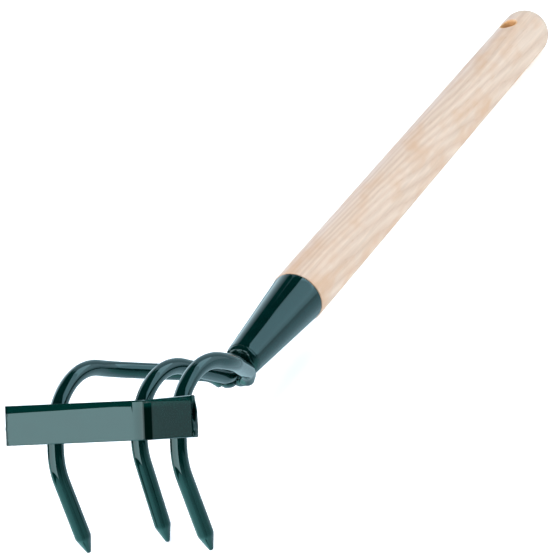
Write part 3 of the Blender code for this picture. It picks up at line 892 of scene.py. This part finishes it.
def make_ash():
    """Pale ash: year rings about a heart outside the handle, pores, streaks and warm patches,
    and a warmer, darker colour inside the hang hole."""
    made, tree, shader = new_material("turned ash")
    new, link = tree.nodes.new, tree.links.new
    shader.inputs["Roughness"].default_value = 0.55
    shader.inputs["IOR"].default_value = 1.45
    along = new("ShaderNodeMapping")
    pitch = rest_pitch - HANDLE_RISE
    turn = Matrix.Rotation(pitch, 3, "X")
    along.inputs["Rotation"].default_value = (pitch, 0, 0)
    along.inputs["Location"].default_value = -(turn @ (laid @ ROOT_CORNER))
    link(new("ShaderNodeTexCoord").outputs["Object"], along.inputs["Vector"])

    def stretched(width, length, detail, roughness=0.55):
        scale = new("ShaderNodeMapping")
        scale.inputs["Scale"].default_value = (1 / width, 1 / length, 1 / width)
        link(along.outputs["Vector"], scale.inputs["Vector"])
        texture = new("ShaderNodeTexNoise")
        texture.inputs["Scale"].default_value = 1.0
        texture.inputs["Detail"].default_value = detail
        texture.inputs["Roughness"].default_value = roughness
        link(scale.outputs["Vector"], texture.inputs["Vector"])
        return texture.outputs["Fac"]

    def ramp(value, *stops):
        made_ramp = new("ShaderNodeValToRGB")
        elements = made_ramp.color_ramp.elements
        while len(elements) < len(stops):
            elements.new(0.5)
        for element, (position, colour) in zip(elements, stops):
            element.position = position
            element.color = (*colour, 1) if len(colour) == 3 else (colour[0],) * 3 + (1,)
        link(value, made_ramp.inputs["Fac"])
        return made_ramp.outputs["Color"]

    def length_within(vector, axes):
        """How long a vector is, counting only the axes that are 1."""
        flat = new("ShaderNodeVectorMath")
        flat.operation = "MULTIPLY"
        flat.inputs[1].default_value = axes
        link(vector, flat.inputs[0])
        span = new("ShaderNodeVectorMath")
        span.operation = "LENGTH"
        link(flat.outputs["Vector"], span.inputs[0])
        return span.outputs["Value"]

    heart = new("ShaderNodeMapping")
    heart.inputs["Location"].default_value = HEART_AT
    heart.inputs["Rotation"].default_value = HEART_LEAN
    link(along.outputs["Vector"], heart.inputs["Vector"])
    from_heart = length_within(heart.outputs["Vector"], (1, 0, 1))
    wander = add_math(tree, "MULTIPLY", stretched(0.026, 0.150, 1.5), 0.010)
    fine = add_math(tree, "MULTIPLY", stretched(0.004, 0.05, 2.0), 0.0012)
    from_heart = add_math(tree, "ADD", add_math(tree, "ADD", from_heart, wander), fine)
    ring = add_math(tree, "FRACT", add_math(tree, "DIVIDE", from_heart, RING_WIDTH))
    year = ramp(ring, (0.0, WOOD_YEAR), (0.16, WOOD_MID), (0.55, WOOD_PALE), (0.92, WOOD_MID))
    grain = stretched(0.0011, 0.030, 3.0, 0.7)
    streak = ramp(grain, (0.30, (0.80,)), (0.62, (1.0,)))
    body = mixed(tree, "MULTIPLY", 0.55, year, streak)
    open_pores = stretched(0.00042, 0.0050, 1.0)
    early = ramp(ring, (0.0, (1.0,)), (0.22, (0.6,)), (0.42, (0.0,)))
    pores = ramp(open_pores, (0.60, (0.0,)), (0.70, (1.0,)))
    pore_mask = add_math(tree, "MULTIPLY", pores, early)
    pore_mask = add_math(tree, "MULTIPLY", pore_mask, 0.55)
    body = mixed(tree, "MIX", pore_mask, body, WOOD_DEEP)
    patches = ramp(stretched(0.011, 0.026, 2.0), (0.46, (0.0,)), (0.68, (0.75,)))
    body = mixed(tree, "MIX", patches, body, WOOD_WARM)
    from_hole = new("ShaderNodeVectorMath")
    from_hole.operation = "SUBTRACT"
    from_hole.inputs[1].default_value = (0, HANG_HOLE_AT, 0)
    link(along.outputs["Vector"], from_hole.inputs[0])
    inside = length_within(from_hole.outputs["Vector"], (1, 1, 0))
    inside = add_math(tree, "DIVIDE", inside, HANG_HOLE_RADIUS * 2)
    inside = ramp(inside, (0.51, (1.0,)), (0.60, (0.0,)))
    body = mixed(tree, "MIX", inside, body, WOOD_IN_HOLE)
    link(body, shader.inputs["Base Color"])
    bump = new("ShaderNodeBump")
    bump.inputs["Strength"].default_value = 0.35
    bump.inputs["Distance"].default_value = GRAIN_DEPTH
    link(add_math(tree, "SUBTRACT", grain, pore_mask), bump.inputs["Height"])
    link(bump.outputs["Normal"], shader.inputs["Normal"])
    return made


handle.data.materials.clear()
handle.data.materials.append(make_ash())
handle.data.transform(laid)
fit(smooth(handle, 35), "handle", slot="ash_wood")

# HANDLE NAIL
# A flat-headed wire nail driven in through the left side of the socket, which keeps the tenon
# in. Only its head shows.
NAIL_AT = 0.0640
NAIL_SHANK_RADIUS = 0.0014
NAIL_HEAD_RADIUS = 0.0030
NAIL_HEAD_HEIGHT = 0.0010
NAIL_HEAD_ROUND = 0.0006
NAIL_HEAD_CROWN = 0.0004
NAIL_DEPTH = 0.0100
NAIL_SIDES = 32
NAIL_SCUFFS_PER_METRE = 900.0
NAIL_DULL = (0.30, 0.30, 0.29)
NAIL_BRIGHT = (0.55, 0.55, 0.53)
nail_outside = SOCKET_START_RADIUS + socket_slope * (NAIL_AT - SOCKET_START) + FIT_GAP
outline = [Vector((0, nail_outside + NAIL_HEAD_HEIGHT))]
for cosine, sine in quarter_turn(6):
    radius = NAIL_HEAD_RADIUS - NAIL_HEAD_ROUND * (1 - sine)
    crown = nail_outside + NAIL_HEAD_HEIGHT - NAIL_HEAD_CROWN * (1 - cosine)
    outline.append(Vector((radius, crown)))
outline += [
    Vector((NAIL_HEAD_RADIUS, nail_outside)),
    Vector((NAIL_SHANK_RADIUS, nail_outside)),
    Vector((NAIL_SHANK_RADIUS, nail_outside - NAIL_DEPTH + NAIL_SHANK_RADIUS * 2)),
    Vector((0, nail_outside - NAIL_DEPTH)),
]
nail = turned("nail", outline, NAIL_SIDES, closed=False)
nail.data.transform(laid @ stand_on_axis(NAIL_AT, Vector((-1, 0, 0))))
steel, tree, shader = new_material("nail steel")
shader.inputs["Metallic"].default_value = 1.0
scuffs = tree.nodes.new("ShaderNodeTexNoise")
scuffs.inputs["Scale"].default_value = NAIL_SCUFFS_PER_METRE
tone = tree.nodes.new("ShaderNodeValToRGB")
tone.color_ramp.elements[0].color = (*NAIL_DULL, 1)
tone.color_ramp.elements[1].color = (*NAIL_BRIGHT, 1)
dull = add_math(tree, "MULTIPLY_ADD", scuffs.outputs["Fac"], 0.3, 0.25)
tree.links.new(scuffs.outputs["Fac"], tone.inputs["Fac"])
tree.links.new(tone.outputs["Color"], shader.inputs["Base Color"])
tree.links.new(dull, shader.inputs["Roughness"])
nail.data.materials.append(steel)
fit(smooth(nail), "handle_nail", slot="nail_steel")

# STAGE
# A plain white floor in soft studio light: a fill from above, a weak blue one from the left,
# and a shell of graded cards in a dark room, which the enamel mirrors. Only the brightest of
# the cards light the wood.
FLOOR_REACH = 6.0
FLOOR_COLOUR = (0.86, 0.86, 0.86)
FLOOR_GLOW = 0.5
CARD_DISTANCE = 3.0
CARD_STEPS = 24
ROOM_REACH = 3.6
ROOM_GLOW = 0.12
ROOM_TINT = (0.10, 0.85, 0.85)
FILL_HEIGHT = 1.8
BLUE_ROUND = math.radians(125.0)
BLUE_SLOPE = 0.4
BLUE_AWAY = 1.8
CAMERA_ROUND = math.radians(34.0)
WHITE = (1.0, 1.0, 1.0)
SKY = (0.70, 0.90, 1.0)
TEAL = (0.50, 1.0, 1.0)
COOL = (0.60, 0.88, 1.0)

mesh = bmesh.new()
bmesh.ops.create_grid(mesh, x_segments=8, y_segments=8, size=FLOOR_REACH)
floor = mesh_piece("floor", mesh)
paper, _, shader = new_material("white paper")
shader.inputs["Base Color"].default_value = (*FLOOR_COLOUR, 1)
shader.inputs["Roughness"].default_value = 0.9
shader.inputs["Emission Color"].default_value = (*WHITE, 1)
shader.inputs["Emission Strength"].default_value = FLOOR_GLOW
floor.data.materials.append(paper)
floor.visible_glossy = False


def glowing(name, light, colour):
    glow, _, shader = new_material(name)
    shader.inputs["Base Color"].default_value = (0, 0, 0, 1)
    shader.inputs["Specular IOR Level"].default_value = 0
    shader.inputs["Emission Color"].default_value = (*colour, 1)
    shader.inputs["Emission Strength"].default_value = light
    return glow


def light_card(name, azimuths, lower, upper, lights, colour, lights_wood):
    """A glowing part of a big shell round the tool. Angles are in degrees: azimuths from the
    camera's, and the lower and upper edges as elevations at the two azimuths. Its light is
    given at the lower and then the upper edge, at the first and last azimuth, and runs evenly
    between them."""
    mesh = bmesh.new()
    glow_at = mesh.verts.layers.float.new("glow")
    columns = []
    for i in range(CARD_STEPS + 1):
        t = i / CARD_STEPS
        azimuth = CAMERA_ROUND + math.radians(azimuths[0] + (azimuths[1] - azimuths[0]) * t)
        foot = lower[0] + (lower[1] - lower[0]) * t
        head = upper[0] + (upper[1] - upper[0]) * t
        column = []
        for j in range(CARD_STEPS + 1):
            raised = math.radians(foot + (head - foot) * j / CARD_STEPS)
            level = Vector((math.sin(azimuth), -math.cos(azimuth), 0)) * math.cos(raised)
            spot = mesh.verts.new((level + UP * math.sin(raised)) * CARD_DISTANCE)
            low_light = lights[0] + (lights[1] - lights[0]) * t
            high_light = lights[2] + (lights[3] - lights[2]) * t
            spot[glow_at] = low_light + (high_light - low_light) * j / CARD_STEPS
            column.append(spot)
        columns.append(column)
    for near, far in zip(columns, columns[1:]):
        for j in range(CARD_STEPS):
            mesh.faces.new((near[j], near[j + 1], far[j + 1], far[j]))
    card = mesh_piece(name, mesh)
    card.data.transform(laid)
    made = glowing(name, 1.0, colour)
    tree = made.node_tree
    glow = tree.nodes.new("ShaderNodeAttribute")
    glow.attribute_name = "glow"
    tree.links.new(glow.outputs["Fac"], tree.nodes["Principled BSDF"].inputs["Emission Strength"])
    card.data.materials.append(made)
    card.visible_camera = False
    card.visible_shadow = False
    card.visible_diffuse = lights_wood


for name, azimuths, lower, upper, lights, colour, lights_wood in (
    ("front_left", (-100, -25), (-20, -38.7), (2.3, 1.4), (3.0, 4.96, 3.0, 4.96), WHITE, True),
    ("front", (-25, -12), (-38.7, -42), (1.06, 1.39), (4.96, 5.3, 4.96, 5.3), WHITE, True),
    ("side", (60, 88), (15, 15), (60, 74), (3.1, 3.0, 3.6, 2.1), SKY, True),
    ("side_far", (88, 120), (28, 44), (72, 70), (3.9, 3.5, 3.9, 3.9), SKY, True),
    ("side_low", (88, 120), (12, 12), (28, 44), (2.0, 1.4, 3.1, 1.6), SKY, False),
    ("side_foot", (88, 104), (-3, -3), (12, 12), (1.1, 1.1, 0.9, 1.1), SKY, False),
    ("side_near", (36, 60), (46, 15), (47, 60), (2.6, 3.2, 2.6, 3.4), SKY, False),
    ("low_far_left", (-150, -104), (-85, -85), (-42, -42), (2.6, 2.7, 3.4, 2.2), TEAL, False),
    ("low_left", (-104, -50), (-85, -85), (-38, -38), (2.9, 3.0, 1.8, 1.6), TEAL, False),
    ("low_middle", (-50, -15), (-85, -85), (-38, -42), (3.0, 2.4, 1.5, 1.4), TEAL, False),
    ("low_right", (-15, 43), (-85, -85), (-20, -20), (2.3, 1.9, 0.2, 0.2), TEAL, False),
    ("low_side", (43, 104), (-85, -85), (-3, -3), (2.5, 1.9, 0.2, 1.1), TEAL, False),
    ("right", (104, 150), (-50, -50), (12, 12), (1.6, 1.9, 1.2, 0.7), COOL, False),
    ("low_right_back", (104, 150), (-85, -85), (-50, -50), (0.6, 1.4, 2.1, 1.8), COOL, False),
    ("back", (150, 190), (-85, -85), (12, 12), (2.0, 2.0, 0.5, 0.6), COOL, False),
    ("back_high", (120, 195), (12, 12), (76, 76), (0.8, 1.0, 1.2, 0.9), COOL, False),
    ("back_left", (190, 216), (-85, -85), (-12, -12), (2.6, 2.6, 1.0, 1.2), COOL, False),
    ("left", (-144, -104), (-42, -42), (-4, -4), (2.4, 1.8, 1.2, 1.4), TEAL, False),
    ("left_high", (-165, -116), (14, 14), (60, 60), (2.9, 3.6, 0.5, 0.5), SKY, False),
):
    light_card("card_" + name, azimuths, lower, upper, lights, colour, lights_wood)

mesh = bmesh.new()
bmesh.ops.create_uvsphere(mesh, u_segments=32, v_segments=16, radius=ROOM_REACH)
dark_room = mesh_piece("dark_room", mesh)
dark_room.data.materials.append(glowing("dark room", ROOM_GLOW, ROOM_TINT))
dark_room.visible_camera = False
dark_room.visible_shadow = False
dark_room.visible_diffuse = False

blue_side = CAMERA_ROUND - BLUE_ROUND
from_left = laid.to_3x3() @ Vector((math.sin(blue_side), -math.cos(blue_side), BLUE_SLOPE))
for name, size, power, colour, place, facing in (
    ("fill", 1.6, 18, WHITE, UP * FILL_HEIGHT, UP),
    ("blue", 1.2, 20, (0.15, 0.50, 1.0), from_left.normalized() * BLUE_AWAY, from_left),
):
    disk = bpy.data.lights.new(name, "AREA")
    disk.shape = "DISK"
    disk.size = size
    disk.energy = power
    disk.color = colour
    light = bpy.data.objects.new(name, disk)
    bpy.context.scene.collection.objects.link(light)
    light.location = place
    light.rotation_euler = facing.to_track_quat("Z", "Y").to_euler()
    light.visible_camera = False
    light.visible_glossy = False

room = bpy.data.worlds.new("room")
room.use_nodes = True
room.node_tree.nodes["Background"].inputs["Color"].default_value = (0.92, 0.94, 1.0, 1)
room.node_tree.nodes["Background"].inputs["Strength"].default_value = 0.3
bpy.context.scene.world = room
bpy.context.scene.view_settings.view_transform = "Standard"

# CAMERA
# Almost level with the strap and 34 degrees round to one side, as the tool stands upright,
# with a slight roll. It is laid down with the tool, and then looks down at it.
CAMERA_RAISED = math.radians(-3.1)
CAMERA_ROLL = math.radians(2.4)
CAMERA_AWAY = 1.6
CAMERA_ACROSS = 0.06765
CAMERA_OVER = 0.0808
CAMERA_LENS = 209.45
CAMERA_SENSOR = 36
CAMERA_SEES_TO = 50

side_on = Vector((math.cos(CAMERA_ROUND), math.sin(CAMERA_ROUND), 0))
towards = Vector((math.sin(CAMERA_ROUND), -math.cos(CAMERA_ROUND), 0)) * math.cos(CAMERA_RAISED)
towards += UP * math.sin(CAMERA_RAISED)
upright = towards.cross(side_on)
across = side_on * math.cos(CAMERA_ROLL) - upright * math.sin(CAMERA_ROLL)
over = side_on * math.sin(CAMERA_ROLL) + upright * math.cos(CAMERA_ROLL)
place = towards * CAMERA_AWAY + across * CAMERA_ACROSS + over * CAMERA_OVER
pose = Matrix((across, over, towards)).transposed().to_4x4()
pose.translation = place
lens = bpy.data.cameras.new("camera")
lens.lens = CAMERA_LENS
lens.sensor_width = CAMERA_SENSOR
lens.sensor_fit = "HORIZONTAL"
lens.clip_end = CAMERA_SEES_TO
camera = bpy.data.objects.new("camera", lens)
camera.matrix_world = laid @ pose
bpy.context.scene.collection.objects.link(camera)
bpy.context.scene.camera = camera
